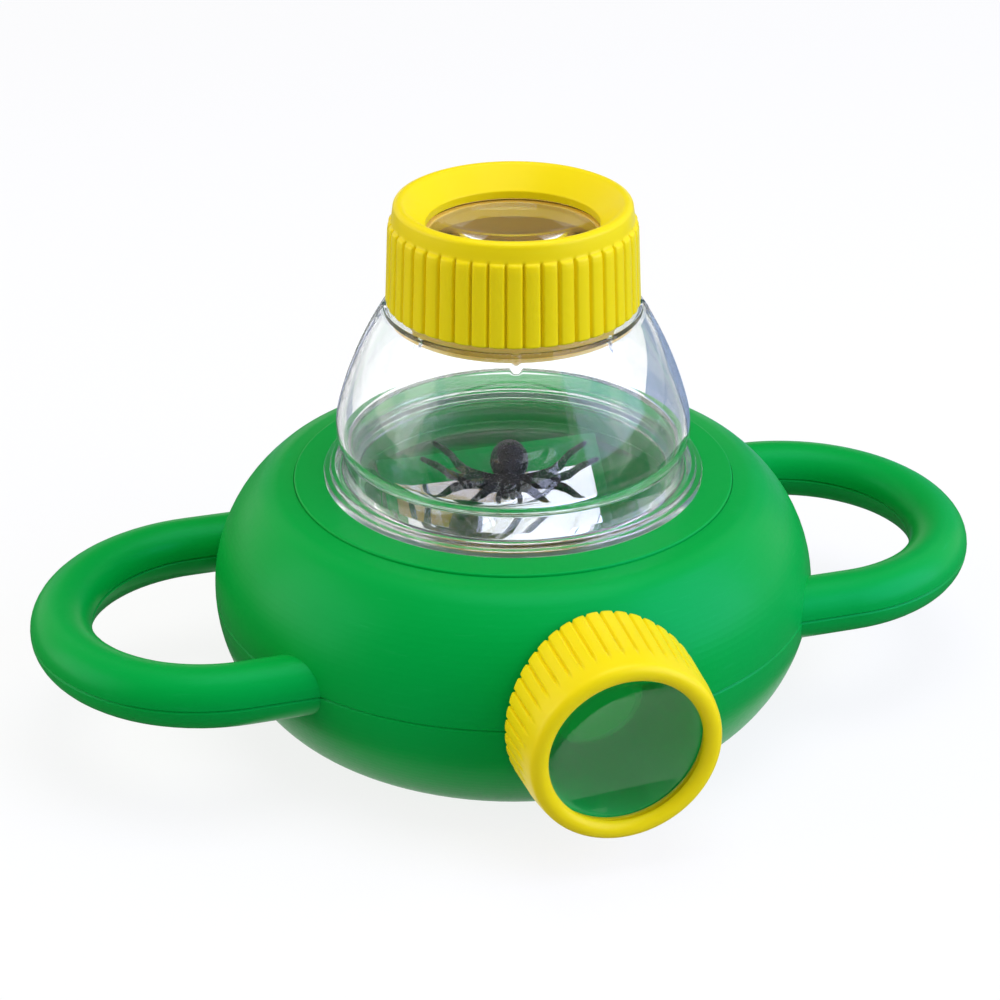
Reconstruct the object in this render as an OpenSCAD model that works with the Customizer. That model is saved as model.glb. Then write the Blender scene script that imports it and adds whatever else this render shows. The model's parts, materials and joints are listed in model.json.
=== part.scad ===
// Bug catcher jar: a clear jar with a magnifying cap on a round body with two loop handles.
// A mirror at 45 degrees in the body shows the underside of the catch in a window in its side.
// Origin: centre of the flat underside. +Z up, +X along the handles, the side window faces -Y.

/* [Body] */
// Radius of the round body at its seam
body_r = 72.5; // [70:0.5:76]
// Height of the seam between the two shells above the table
seam_h = 30; // [28:0.5:32]
// Thickness of the shell walls
shell_wall = 2.4; // [2:0.1:3]
// Radius of the side curve above the seam
upper_side_r = 33; // [31:0.5:36]
// Angle that the upper side curve turns before the crown starts
upper_side_deg = 49; // [46:1:52]
// Radius of the crown curve that leads to the flat top
crown_r = 10; // [8:0.5:12]
// Radius of the side curve below the seam
lower_side_r = 36; // [34:0.5:38]
// Angle that the lower side curve turns before the base curve starts
lower_side_deg = 38; // [36:1:40]
// Bevel along the seam, on each shell
seam_bevel = 0.4; // [0.2:0.1:0.8]

/* [Handles] */
// Radius of the round handle bar
handle_bar_r = 7.2; // [6.5:0.1:8]
// Radius of the loop, at the middle of the bar
handle_loop_r = 36.2; // [34:0.2:38]
// Distance of the loop's centre outside the body's seam
handle_centre_out = 1.2; // [0:0.1:7]
// Wall of the hollow handles
handle_wall = 2.2; // [1.8:0.1:3]

/* [Jar seat] */
// Radius of the seat ring's rim on top of the body
seat_rim_r = 52.4; // [51:0.2:53]
// Thickness of that rim
seat_rim_t = 1.8; // [1.5:0.1:2.2]
// Height of the rim above the shell around it
seat_proud = 0.6; // [0.3:0.1:1]
// Radius of the opening that the jar stands in
seat_bore_r = 38.5; // [37.8:0.1:38.8]
// Wall of the tube below the rim
seat_tube_wall = 2.5; // [2:0.1:3]
// Depth of the tube below the rim's top
seat_tube_h = 9.2; // [8:0.2:10]
// Depth of the relief in the tube's bore
seat_relief = 0.9; // [0.4:0.1:1.2]

/* [Clear jar] */
// Radius of the jar's flange
flange_r = 45.2; // [44.5:0.1:46]
// Thickness of the flange
flange_t = 1.6; // [1.2:0.1:2]
// Radius of the raised ring on the flange
ridge_r = 43.7; // [43:0.1:44.2]
// Width of that ring
ridge_w = 1.1; // [0.8:0.1:1.5]
// Height of that ring
ridge_h = 1.2; // [0.8:0.1:1.6]
// Thickness of the chamber's floor
floor_t = 1.6; // [1.2:0.1:2]
// Height of the spigot under the flange that drops into the seat
spigot_h = 1.5; // [1:0.1:2]
// Play between the spigot and the seat's opening
spigot_gap = 0.3; // [0.2:0.05:0.5]
// Radius of the waist between flange and bell
waist_r = 40.6; // [40.2:0.1:41]
// Wall of the clear bell
jar_wall = 1.8; // [1.5:0.1:2]
// Largest radius of the bell
bulge_r = 42.6; // [42:0.1:43.2]
// Height of the bell's foot above the flange's underside
bell_foot_rise = 8.1; // [7.6:0.1:8.6]
// Height of the bell's widest place above the flange's underside
bulge_rise = 12; // [11.7:0.1:12.4]
// Radius of the curve under the bell's widest place
toe_arc_r = 5; // [4.8:0.1:5.5]
// Radius of the curve above it
bell_arc_r = 22; // [20:0.5:24]
// Slope of the bell's straight flank from the vertical
flank_deg = 26; // [25.5:0.5:26.5]
// Height of the bell's shoulder above the flange's underside
shoulder_rise = 43.1; // [42.5:0.1:43.5]
// Outer radius of the neck
neck_r = 26.9; // [26.7:0.1:27]
// Wall of the neck
neck_wall = 1.2; // [1.1:0.05:1.3]
// Height of the neck above the shoulder
neck_h = 13.9; // [13:0.1:14.2]
// Number of stop ribs round the shoulder
stop_count = 8; // [6:1:12]
// Width of a stop rib
stop_w = 1.8; // [1.4:0.1:2.2]
// Radius that the stop ribs reach out to
stop_r = 30.9; // [30.7:0.1:31.2]
// Height of the stop ribs' tops above the shoulder
stop_h = 0.5; // [0.3:0.1:0.8]
// Length of a stop rib below the shoulder
stop_drop = 2.4; // [2:0.1:2.8]

/* [Cap] */
// Outer radius of the cap's skirt at its foot
cap_foot_r = 29.6; // [29.4:0.1:30]
// Outer radius of the skirt where its ribs end
cap_rib_top_r = 28.7; // [28.5:0.1:28.9]
// Height of the ribbed skirt
cap_skirt_h = 19.6; // [19:0.2:20.5]
// Play between the skirt and the neck
cap_gap = 0.35; // [0.3:0.05:0.4]
// Number of grip ribs on the cap
cap_ribs = 45; // [40:1:50]
// Depth of the grooves between grip ribs
rib_depth = 0.55; // [0.4:0.05:0.6]
// Width of the grooves between grip ribs
rib_groove_w = 1.05; // [0.8:0.05:1.3]
// Radius of the smooth band above the ribs
band_r = 27.5; // [27.3:0.1:27.8]
// Radius of the rounding round the top of the cap
crest_round = 2.2; // [1.8:0.1:2.4]
// Height of the crest above the ribs' ends
crest_rise = 5.3; // [5:0.1:5.6]
// Radius of the viewing hole in the cap
hole_r = 20; // [19.5:0.1:20.3]
// Height of the viewing hole's rim below the crest
dish_depth = 6; // [5.6:0.1:6.2]
// Height of the straight wall in the viewing hole
hole_wall_h = 1.8; // [1.5:0.1:2]

/* [Top lens] */
// Radius of the top lens
top_lens_r = 21.2; // [21:0.1:21.6]
// Thickness of the top lens at its edge
top_lens_edge = 2.2; // [2:0.1:2.5]
// Rise of the lens's upper face
top_lens_rise = 1.6; // [1.2:0.1:1.9]
// Drop of the lens's lower face
top_lens_drop = 2.6; // [2:0.1:3]
// Outer radius of the tube that holds the lens up
tube_r = 25.4; // [25.2:0.05:25.4]
// Wall of that tube
tube_wall = 1.5; // [1.2:0.1:1.7]
// Length of the tube below its shelf
tube_len = 17.7; // [17:0.1:18.2]
// Thickness of the shelf under the lens
tube_shelf_t = 1.5; // [1.2:0.1:1.8]
// Radius of the hole in the shelf
shelf_hole_r = 19.4; // [19:0.1:19.8]

/* [Side window] */
// Height of the window's axis above the seam
port_rise = 0.8; // [0:0.1:1]
// Outer radius of the fixed tube that the ring fits on
port_r = 20.3; // [20:0.1:20.5]
// Wall of the fixed tube
port_wall = 1.6; // [1.4:0.1:1.8]
// Distance from the body's seam in to the fixed tube's inner end
port_depth = 18.5; // [17.5:0.1:19]
// Play between the fixed tube's outer end and the ring that holds the lens in
port_end_gap = 0.6; // [0.4:0.1:1]
// Radius of the flange that the shells trap
port_flange_r = 22.6; // [22:0.1:23]
// Thickness of that flange
port_flange_t = 2; // [1.6:0.1:2.4]
// Radius of the boss round the tube in the shells
port_boss_r = 24.8; // [24.6:0.1:25]
// Distance from the body's skin to the ring's shaped back edge
ring_stand = 1.5; // [1.2:0.1:1.8]
// Outer radius of the ring's ribs at their front ends, past which they widen to the back
ring_front_r = 22.7; // [22.5:0.1:22.9]
// Distance that the ring's ribs reach out past the body's seam
rib_out = 7.8; // [7.5:0.1:8.1]
// Slope of the ribs towards the front
rib_lean_deg = 2.8; // [2:0.1:3.4]
// Number of grip ribs on the ring
ring_ribs = 44; // [38:1:46]
// Radius of the ring's smooth bezel
bezel_r = 22; // [21.8:0.1:22.2]
// Radius of the rounding round the front of the bezel
bezel_round = 2.2; // [1.8:0.1:2.2]
// Distance from the ribs' front ends to the crest
bezel_crest_out = 6.4; // [6.2:0.1:6.8]
// Radius of the window in the bezel
window_r = 17.7; // [17.4:0.1:17.9]
// Distance from the crest back to the window's rim
window_in = 2.4; // [2.2:0.1:2.6]
// Length of the straight wall in the window
window_wall_h = 1; // [0.8:0.1:1.2]
// Radius of the side lens
side_lens_r = 19.4; // [19:0.1:19.6]
// Thickness of the side lens at its edge
side_lens_edge = 2.1; // [2:0.1:2.3]
// Rise of each face of the side lens
side_lens_rise = 1.5; // [1.2:0.1:1.8]
// Thickness of the ring that holds the side lens in
side_stop_t = 1.4; // [1.2:0.1:1.5]

/* [Mirror] */
// Side of the square mirror
mirror_w = 52; // [50:0.5:53]
// Thickness of the mirror
mirror_t = 2; // [1.6:0.1:2.4]
// Height of the mirror's centre above the table
mirror_h = 28; // [27:0.2:28.4]
// Width of the bracket's frame beside the mirror
frame_w = 2.9; // [2.5:0.1:3]
// Length of the bracket's panel above the mirror
frame_top = 7.9; // [7:0.1:8]
// Length of the bracket's panel below the mirror
frame_bottom = 1.5; // [1.2:0.1:2]
// Thickness of the bracket behind the mirror
bracket_t = 2.2; // [1.8:0.1:2.5]
// Thickness of the bracket's cheeks
cheek_t = 2.4; // [2:0.1:2.6]
// Height of the bosses that the bracket's feet stand on
foot_h = 4.2; // [3.8:0.1:4.6]

/* [Screws] */
// Distance of the shell screws inside the body's seam
body_screw_in = 22.5; // [22:0.1:23]
// Angle of the shell screws from the handles' line
body_screw_deg = 52; // [50:0.5:54]
// Radius of a shell screw's shank
body_shank_r = 1.4; // [1.3:0.05:1.45]
// Length of a shell screw's shank
body_shank_len = 18; // [16:0.5:19]
// Radius of a shell screw's head
body_head_r = 3; // [2.8:0.05:3.1]
// Radius of a handle screw's shank
handle_shank_r = 1.1; // [1:0.05:1.15]
// Length of a handle screw's shank
handle_shank_len = 7.6; // [7:0.1:8]
// Radius of a handle screw's head
handle_head_r = 2.4; // [2.2:0.05:2.5]
// Radius of a bracket screw's shank
foot_shank_r = 1; // [0.9:0.05:1.05]
// Length of a bracket screw's shank
foot_shank_len = 6.6; // [6:0.1:7]
// Radius of a bracket screw's head
foot_head_r = 2; // [1.8:0.1:2.2]

/* [Spider] */
// Distance of the toy spider's middle to the right of the jar's axis
spider_x = -0.9; // [-3:0.1:3]
// Distance of its middle behind the jar's axis
spider_y = -15; // [-17:0.5:-12]
// Angle that the toy spider is turned to the left
spider_turn = -16.8; // [-30:0.2:30]
// Largest radius of its abdomen
abdomen_r = 4.5; // [4:0.1:4.7]
// Length of its abdomen
abdomen_len = 13.6; // [11:0.2:14]
// Radius of its front body
thorax_r = 3.1; // [2.8:0.1:3.4]
// Reach of the second pair of legs to each side
leg_reach = 21.4; // [18:0.2:23]
// Radius of a leg at the body
leg_r = 1.15; // [0.9:0.05:1.2]
// Radius of a leg at its tip
leg_tip_r = 0.55; // [0.4:0.05:0.6]

/* [Hidden] */

// Play between pieces that move apart, between pieces fixed together, and the overrun of cuts
body_gap = 0.3;
fit_gap = 0.15;
cut = 1;
// Smoothness of rounds and of the curves in outlines
round_fn = 96;
small_fn = 48;
arc_steps = 18;
right_angle = 90;
full_turn = 360;

// Colours of the plastics
green = [0, 0.62, 0.25];
yellow = [0.95, 0.86, 0.06];
clear = [0.85, 0.95, 0.95, 0.35];
steel = [0.7, 0.7, 0.72];
silver = [0.86, 0.88, 0.9];
black = [0.05, 0.05, 0.05];

// Points of an arc in an outline
function arc(c, r, a0, a1) =
    [for (i = [0 : arc_steps]) let (a = a0 + (a1 - a0) * i / arc_steps) c + r * [cos(a), sin(a)]];

// Shell outlines: side curve, then a second curve that is tangent to it
upper_side_c = [body_r - upper_side_r, seam_h];
crown_c = upper_side_c + (upper_side_r - crown_r) * [cos(upper_side_deg), sin(upper_side_deg)];
crown_deg = 84;
lower_side_c = [body_r - lower_side_r, seam_h];
base_arc_r = (seam_h - lower_side_r * sin(lower_side_deg)) / (1 - sin(lower_side_deg));
base_c = lower_side_c + (lower_side_r - base_arc_r) * [cos(lower_side_deg), -sin(lower_side_deg)];

// Centre of each handle's loop
handle_centre_x = body_r + handle_centre_out;

// The crown's straight end, and the heights that stand on it
crown_end = crown_c + crown_r * [cos(crown_deg), sin(crown_deg)];
shell_top = crown_end[1] + (crown_end[0] - seat_rim_r) / tan(crown_deg);
seat_top = shell_top + seat_proud;
pocket_z = seat_top - seat_rim_t;
seat_tube_r = seat_bore_r + seat_tube_wall;
opening_r = seat_tube_r + fit_gap;
collar_r = opening_r + shell_wall;
collar_z = pocket_z - shell_wall;
collar_foot = seat_top - seat_tube_h + shell_wall;

// Jar heights
jar_z = seat_top + body_gap;
spigot_r = seat_bore_r - spigot_gap;
floor_top = jar_z - spigot_h + floor_t;
bell_foot = jar_z + bell_foot_rise;
bulge_z = jar_z + bulge_rise;
shoulder_z = jar_z + shoulder_rise;
neck_top = shoulder_z + neck_h;
lip_h = 2.2;
lip_wall = 1.1;
toe_c = [bulge_r - toe_arc_r, bulge_z];
bell_c = [bulge_r - bell_arc_r, bulge_z];
toe_deg = asin((bulge_rise - bell_foot_rise) / toe_arc_r);
toe_r = toe_c[0] + toe_arc_r * cos(toe_deg);
toe_in_r = toe_r - jar_wall;
flank_start = bell_c + bell_arc_r * [cos(flank_deg), sin(flank_deg)];
flank_in_start = bell_c + (bell_arc_r - jar_wall) * [cos(flank_deg), sin(flank_deg)];
shoulder_t = 1.6;
shoulder_r = flank_start[0] - (shoulder_z - flank_start[1]) * tan(flank_deg);
shoulder_in_z = shoulder_z - shoulder_t;
shoulder_in_r = flank_in_start[0] - (shoulder_in_z - flank_in_start[1]) * tan(flank_deg);
shoulder_round = 0.5;

// Cap heights
cap_z = shoulder_z + stop_h + body_gap;
rib_top_z = cap_z + cap_skirt_h;
crest_z = rib_top_z + crest_rise;
hole_z = crest_z - dish_depth;
skirt_in_r = neck_r + cap_gap;
lens_seat_z = hole_z - hole_wall_h;
top_lens_z = lens_seat_z - body_gap - top_lens_edge;
shelf_z = top_lens_z - body_gap;
tube_in_r = tube_r - tube_wall;
lens_pocket_r = top_lens_r + body_gap;
crest_deg = 156;
lens_rim_share = 0.01;
cap_phase = 2;
stop_phase = 29.5;

// Side window: distances along its axis, out from the body's axis
port_z = seam_h + port_rise;
port_in = body_r - port_depth;
rib_front = body_r + rib_out;
port_in_r = port_r - port_wall;
port_flange_in = port_in + port_flange_t;
port_hole_r = port_r + fit_gap;
ring_in_r = port_r + fit_gap;
ring_back = port_in + port_flange_t + body_gap;
ring_rib_len = rib_front - ring_back;
ring_back_r = ring_front_r + ring_rib_len * tan(rib_lean_deg);
bezel_crest = rib_front + bezel_crest_out;
window_out = bezel_crest - window_in;
window_seat = window_out - window_wall_h;
side_lens_out = window_seat - body_gap;
side_lens_in = side_lens_out - side_lens_edge;
side_stop_out = side_lens_in - body_gap;
side_stop_in_r = side_lens_r - side_stop_t;
port_out = side_stop_out - side_stop_t - port_end_gap;
bezel_deg = 160;
ring_phase = 89.2;

// Mirror and bracket, in the mirror's own plane
mirror_deg = 45;
mirror_half = mirror_w / 2;
pocket_half = mirror_half + fit_gap;
panel_half = mirror_half + frame_w;
panel_top = mirror_half + frame_top;
panel_foot = -mirror_half - frame_bottom;
panel_t = mirror_t + bracket_t;
cheek_rib = 4;
foot_w = 9;
foot_len = 12;
foot_t = 2.5;
foot_y = 6;
foot_screw_x = panel_half + foot_w / 2;
foot_boss_r = 3.4;
foot_pilot_r = foot_shank_r + fit_gap;
foot_z = shell_wall + foot_h;

// Screws and their bosses
body_screw_r = body_r - body_screw_in;
web_z = 22;
head_h = 2.2;
body_boss_r = 4.8;
body_hole_r = body_shank_r + fit_gap;
upper_boss_r = 3.8;
small_head_h = 1.6;
handle_boss_r = 3.8;
handle_web_z = seam_h - handle_bar_r / 2;
handle_hole_r = handle_shank_r + fit_gap;
handle_tip_x = handle_centre_x + handle_loop_r;
arm_root_x = sqrt(body_r * body_r - pow(handle_loop_r + handle_bar_r, 2)) - shell_wall;
head_gap = 0.3;
slot_w = 0.7;
slot_t = 0.6;

// Toy spider: points of its legs from its own middle, as [out, back, up] in shares of their reach
spider_z = floor_top + body_gap;
abdomen_up = 5;
abdomen_back = 7.6;
thorax_up = 3.5;
leg_fn = 8;
leg_steps = 2;
leg_shares = [
    [[0.093, 0.028, 0.159], [0.402, 0.112, 0.215], [0.547, 0.388, 0.168],
     [0.673, 0.841, 0.093], [0.874, 1.271, 0.028]],
    [[0.093, 0, 0.159], [0.43, -0.023, 0.215], [0.631, 0.154, 0.168],
     [0.79, 0.523, 0.093], [1, 0.864, 0.028]],
    [[0.093, -0.056, 0.159], [0.393, -0.159, 0.215], [0.584, -0.196, 0.196],
     [0.706, -0.206, 0.112], [0.827, -0.257, 0.028]],
    [[0.065, -0.093, 0.159], [0.196, -0.243, 0.21], [0.28, -0.327, 0.187],
     [0.369, -0.336, 0.107], [0.435, -0.355, 0.028]]
];

// Solid of a turned outline
module turned(points) {
    rotate_extrude($fn = round_fn) polygon(points);
}

// Puts a piece on the window's axis: its own Z runs outwards, along -Y
module on_port() {
    translate([0, 0, port_z]) rotate([right_angle, 0, 0]) children();
}

// Puts a piece in the mirror's plane: its own Z is the mirror's normal
module on_mirror() {
    translate([0, 0, mirror_h]) rotate([mirror_deg, 0, 0]) children();
}

// One piece at each shell screw
module at_body_screws() {
    for (sx = [-1, 1], sy = [-1, 1])
        translate([sx * body_screw_r * cos(body_screw_deg),
                   sy * body_screw_r * sin(body_screw_deg), 0]) children();
}

// One piece at each handle's tip, and one at each of the bracket's feet
module at_handle_tips() {
    for (sx = [-1, 1]) translate([sx * handle_tip_x, 0, 0]) children();
}
module at_feet() {
    for (sx = [-1, 1]) translate([sx * foot_screw_x, foot_y, 0]) children();
}

// Half of a bar's round section, with a bevel at the seam where it is asked for
module half_round(r, side, bevel) {
    intersection() {
        circle(r, $fn = small_fn);
        polygon([[-r - cut, side * (r + cut)], [-r - cut, side * (bevel + cut)],
                 [-r, side * bevel], [bevel - r, 0], [r - bevel, 0], [r, side * bevel],
                 [r + cut, side * (bevel + cut)], [r + cut, side * (r + cut)]]);
    }
}

// Both loops of bar, as the half above or below the seam
module loops(r, side, root_x, bevel) {
    for (sx = [0, 1]) mirror([sx, 0, 0]) translate([0, 0, seam_h]) {
        translate([handle_centre_x, 0, 0]) rotate([0, 0, -right_angle])
            rotate_extrude(angle = 2 * right_angle, $fn = round_fn)
                translate([handle_loop_r, 0]) half_round(r, side, bevel);
        for (sy = [-1, 1]) translate([root_x, sy * handle_loop_r, 0])
            rotate([right_angle, 0, right_angle])
                linear_extrude(handle_centre_x - root_x) half_round(r, side, bevel);
    }
}

// Grooves between grip ribs, on a skirt that narrows from its foot to its top
module rib_grooves(count, phase, foot_r, top_r, h) {
    lean = atan((foot_r - top_r) / h);
    for (i = [0 : count - 1]) rotate([0, 0, phase + i * full_turn / count])
        translate([foot_r - rib_depth, -rib_groove_w / 2, 0]) rotate([0, -lean, 0])
            translate([0, 0, -cut]) cube([rib_depth + cut, rib_groove_w, h + 2 * cut]);
}

// Outer and inner solids of the two halves of the round body
module lower_body() {
    turned(concat([[0, 0]], arc(base_c, base_arc_r, -right_angle, -lower_side_deg),
                  arc(lower_side_c, lower_side_r, -lower_side_deg, -asin(seam_bevel / lower_side_r)),
                  [[body_r - seam_bevel, seam_h], [0, seam_h]]));
}
module lower_hollow() {
    turned(concat([[0, shell_wall]],
                  arc(base_c, base_arc_r - shell_wall, -right_angle, -lower_side_deg),
                  arc(lower_side_c, lower_side_r - shell_wall, -lower_side_deg, 0),
                  [[body_r - shell_wall, seam_h + cut], [0, seam_h + cut]]));
}
module upper_body() {
    turned(concat([[0, seam_h], [body_r - seam_bevel, seam_h]],
                  arc(upper_side_c, upper_side_r, asin(seam_bevel / upper_side_r), upper_side_deg),
                  arc(crown_c, crown_r, upper_side_deg, crown_deg),
                  [[seat_rim_r, shell_top], [0, shell_top]]));
}
module upper_hollow() {
    turned(concat([[0, seam_h - cut], [body_r - shell_wall, seam_h - cut]],
                  arc(upper_side_c, upper_side_r - shell_wall, 0, upper_side_deg),
                  [[crown_c[0] + (crown_r - shell_wall) * cos(upper_side_deg), collar_z],
                   [0, collar_z]]));
}

// Ring round the window's hole inside both shells, with the groove that traps the tube
module port_boss() {
    on_port() difference() {
        translate([0, 0, port_in - shell_wall])
            cylinder(r = port_boss_r, h = body_r - port_in, $fn = round_fn);
        translate([0, 0, port_in])
            cylinder(r = port_flange_r + fit_gap, h = port_flange_t + fit_gap, $fn = round_fn);
    }
}
module port_hole() {
    on_port() translate([0, 0, port_in - shell_wall - cut])
        cylinder(r = port_hole_r, h = body_r, $fn = round_fn);
}

module lower_shell() {
    color(green) difference() {
        union() {
            difference() {
                union() {
                    lower_body();
                    loops(handle_bar_r, -1, arm_root_x, seam_bevel);
                }
                lower_hollow();
                loops(handle_bar_r - handle_wall, -1, handle_loop_r, 0);
            }
            intersection() {
                port_boss();
                lower_body();
            }
            at_body_screws() translate([0, 0, shell_wall / 2])
                cylinder(r = body_boss_r, h = seam_h - shell_wall / 2, $fn = small_fn);
            at_handle_tips() translate([0, 0, seam_h - handle_bar_r + handle_wall / 2])
                cylinder(r = handle_boss_r, h = handle_bar_r - handle_wall / 2, $fn = small_fn);
            at_feet() translate([0, 0, shell_wall / 2])
                cylinder(r = foot_boss_r, h = foot_z - shell_wall / 2, $fn = small_fn);
        }
        port_hole();
        at_body_screws() {
            translate([0, 0, -cut])
                cylinder(r = body_head_r + head_gap, h = web_z + cut, $fn = small_fn);
            cylinder(r = body_hole_r, h = seam_h + cut, $fn = small_fn);
        }
        at_handle_tips() {
            cylinder(r = handle_head_r + head_gap, h = handle_web_z, $fn = small_fn);
            cylinder(r = handle_hole_r, h = seam_h + cut, $fn = small_fn);
        }
        at_feet() translate([0, 0, shell_wall / 2])
            cylinder(r = foot_pilot_r, h = foot_z, $fn = small_fn);
    }
}

module upper_shell() {
    color(green) difference() {
        union() {
            difference() {
                union() {
                    upper_body();
                    loops(handle_bar_r, 1, arm_root_x, seam_bevel);
                }
                upper_hollow();
                loops(handle_bar_r - handle_wall, 1, handle_loop_r, 0);
            }
            intersection() {
                port_boss();
                upper_body();
            }
            translate([0, 0, collar_foot])
                cylinder(r = collar_r, h = collar_z - collar_foot + shell_wall / 2, $fn = round_fn);
            at_body_screws() translate([0, 0, seam_h])
                cylinder(r = upper_boss_r, h = collar_z - seam_h + shell_wall / 2, $fn = small_fn);
            at_handle_tips() translate([0, 0, seam_h])
                cylinder(r = handle_boss_r, h = handle_bar_r - handle_wall / 2, $fn = small_fn);
        }
        port_hole();
        cylinder(r = opening_r, h = seat_top, $fn = round_fn);
        translate([0, 0, pocket_z])
            cylinder(r = seat_rim_r + fit_gap, h = seat_rim_t + cut, $fn = round_fn);
        at_body_screws() translate([0, 0, seam_h - cut])
            cylinder(r = body_hole_r, h = body_shank_len - (seam_h - web_z) + 2 * cut, $fn = small_fn);
        at_handle_tips() translate([0, 0, seam_h - cut])
            cylinder(r = handle_hole_r, h = handle_bar_r - handle_wall + cut / 2, $fn = small_fn);
    }
}

// Ring that the jar stands on, with a stepped bore
module jar_seat() {
    step_h = (seat_tube_h - seat_rim_t) / 3;
    rim_h = seat_rim_t + step_h / 2;
    color(green) turned([
        [seat_bore_r, seat_top], [seat_rim_r - seat_proud / 2, seat_top],
        [seat_rim_r, seat_top - seat_proud / 2], [seat_rim_r, pocket_z],
        [seat_tube_r, pocket_z], [seat_tube_r, seat_top - seat_tube_h],
        [seat_bore_r + seat_relief / 2, seat_top - seat_tube_h],
        [seat_bore_r + seat_relief / 2, seat_top - seat_tube_h + step_h],
        [seat_bore_r + seat_relief, seat_top - seat_tube_h + step_h],
        [seat_bore_r + seat_relief, seat_top - rim_h], [seat_bore_r, seat_top - rim_h]]);
}

module side_port() {
    color(green) on_port() turned([
        [port_in_r, port_in], [port_flange_r, port_in], [port_flange_r, port_flange_in],
        [port_r, port_flange_in], [port_r, port_out], [port_in_r, port_out]]);
}

// Sloping panel with a pocket for the mirror, on two cheeks with feet for its screws
module mirror_bracket() {
    back = panel_t / sin(mirror_deg);
    y_foot = panel_foot * cos(mirror_deg);
    y_top = panel_top * cos(mirror_deg);
    window_z = foot_z + foot_t + cheek_rib;
    window_y = y_top - cheek_rib;
    window_rise = mirror_h - back - cheek_rib / sin(mirror_deg);
    color(green) difference() {
        union() {
            on_mirror() translate([-panel_half, panel_foot, -panel_t])
                cube([2 * panel_half, panel_top - panel_foot, panel_t]);
            for (sx = [0, 1]) mirror([sx, 0, 0]) translate([panel_half - cheek_t, 0, 0]) {
                rotate([right_angle, 0, right_angle]) linear_extrude(cheek_t) difference() {
                    polygon([[y_foot + back / 2, shell_wall], [y_top, shell_wall],
                             [y_top, mirror_h + y_top - back / 2],
                             [y_foot + back / 2, mirror_h + y_foot]]);
                    polygon([[window_z - window_rise, window_z], [window_y, window_z],
                             [window_y, window_y + window_rise]]);
                }
                translate([0, foot_y - foot_len / 2, foot_z]) cube([foot_w + cheek_t, foot_len, foot_t]);
            }
        }
        on_mirror() translate([-pocket_half, -pocket_half, -mirror_t])
            cube([2 * pocket_half, 2 * pocket_half, mirror_t + cut]);
        at_feet() translate([0, 0, foot_z - cut])
            cylinder(r = foot_pilot_r, h = foot_t + 2 * cut, $fn = small_fn);
    }
}

module mirror_plate() {
    color(silver) on_mirror() translate([-mirror_half, -mirror_half, -mirror_t])
        cube([mirror_w, mirror_w, mirror_t]);
}

// A screw that points up from the underside of its head, with a slot in the head
module screw(head_r, h, shank_r, len) {
    color(steel) difference() {
        union() {
            translate([0, 0, -h]) cylinder(r = head_r, h = h, $fn = small_fn);
            cylinder(r = shank_r, h = len, $fn = small_fn);
        }
        translate([-head_r - cut, -slot_w / 2, -h - cut]) cube([2 * (head_r + cut), slot_w, slot_t + cut]);
    }
}
module body_screws() {
    at_body_screws() translate([0, 0, web_z])
        screw(body_head_r, head_h, body_shank_r, body_shank_len);
}
module handle_screws() {
    at_handle_tips() translate([0, 0, handle_web_z])
        screw(handle_head_r, small_head_h, handle_shank_r, handle_shank_len);
}
module bracket_screws() {
    at_feet() translate([0, 0, foot_z + foot_t]) mirror([0, 0, 1])
        screw(foot_head_r, small_head_h, foot_shank_r, foot_shank_len);
}

// Clear dish that closes the bell's foot: floor, spigot, stepped flange, waist and lip
module chamber_floor() {
    lip_r = toe_in_r - fit_gap;
    in_r = lip_r - lip_wall;
    color(clear) turned([
        [0, jar_z - spigot_h], [spigot_r, jar_z - spigot_h], [spigot_r, jar_z],
        [flange_r, jar_z], [flange_r, jar_z + flange_t], [ridge_r, jar_z + flange_t],
        [ridge_r, jar_z + flange_t + ridge_h], [ridge_r - ridge_w, jar_z + flange_t + ridge_h],
        [waist_r + ridge_w / 2, jar_z + flange_t], [waist_r, jar_z + flange_t + ridge_w / 2],
        [waist_r, bell_foot], [lip_r, bell_foot], [lip_r, bell_foot + lip_h],
        [in_r, bell_foot + lip_h], [in_r, floor_top], [0, floor_top]]);
}

// Clear bell with its neck and the stop ribs under the cap
module jar_dome() {
    color(clear) {
        turned(concat(
            arc(toe_c, toe_arc_r, -toe_deg, 0),
            arc(bell_c, bell_arc_r, 0, flank_deg),
            [[shoulder_r + shoulder_round * tan(flank_deg), shoulder_z - shoulder_round],
             [shoulder_r - shoulder_round, shoulder_z], [neck_r, shoulder_z],
             [neck_r, neck_top - shoulder_round], [neck_r - shoulder_round, neck_top],
             [neck_r - neck_wall, neck_top], [neck_r - neck_wall, shoulder_in_z],
             [shoulder_in_r, shoulder_in_z]],
            arc(bell_c, bell_arc_r - jar_wall, flank_deg, 0),
            [[toe_in_r, bell_foot + lip_h + fit_gap], [toe_in_r, bell_foot]]));
        for (i = [0 : stop_count - 1]) rotate([0, 0, stop_phase + i * full_turn / stop_count])
            rotate([right_angle, 0, 0]) translate([0, 0, -stop_w / 2]) linear_extrude(stop_w)
                polygon([[neck_r - neck_wall / 2, shoulder_z + stop_h],
                         [stop_r - stop_h, shoulder_z + stop_h], [stop_r, shoulder_z],
                         [stop_r + neck_wall / 2, shoulder_z - stop_drop],
                         [shoulder_in_r + neck_wall / 2, shoulder_z - stop_drop + shoulder_t],
                         [neck_r - neck_wall / 2, shoulder_z - shoulder_t / 2]]);
    }
}

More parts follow.
